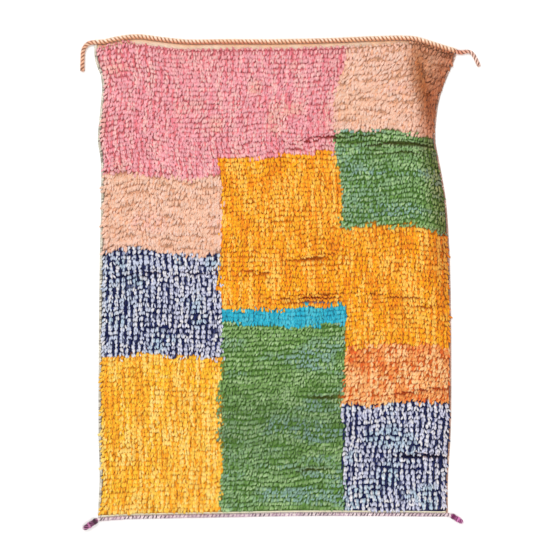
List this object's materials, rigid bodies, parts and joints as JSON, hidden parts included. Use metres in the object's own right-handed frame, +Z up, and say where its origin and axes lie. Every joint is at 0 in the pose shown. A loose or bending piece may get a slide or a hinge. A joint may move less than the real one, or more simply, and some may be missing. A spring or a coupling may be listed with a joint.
{
  "type": "hand-knotted berber rug",
  "caption": "Small hand-knotted wool rug in plain colour blocks, with a twisted cord along its head and bound stubs at its foot corners.",
  "frame": {"origin": "on the underside, below the middle of the box of the rug without its free cord ends", "axes": "+X across the rug to the right as seen with the corded head end away from the viewer, +Y along the rug towards the head end, +Z up out of the pile"},
  "size_m": [1.2388, 1.5368, 0.0204],
  "materials": {
    "pile_wool": "knotted wool pile in colour blocks",
    "cord_wool": "two-ply twisted wool cord, pale pink and rust",
    "cream_binding": "cream wool wrapped round the outer warps",
    "tan_binding": "tan wool wrapped round the outer warps",
    "foot_wool": "pale pink overcast wool with mauve stitches",
    "plum_wool": "bound plum wool",
    "magenta_wool": "bound magenta wool"
  },
  "bodies": {
    "root": {"rug_body": "pile_wool", "head_cord": "cord_wool", "tail_left": "cord_wool", "tail_right": "cord_wool", "selvage_left": "cream_binding", "selvage_right": "tan_binding", "foot_edge": "foot_wool", "tassel_left": "plum_wool", "tassel_right": "magenta_wool"}
  },
  "joints": []
}
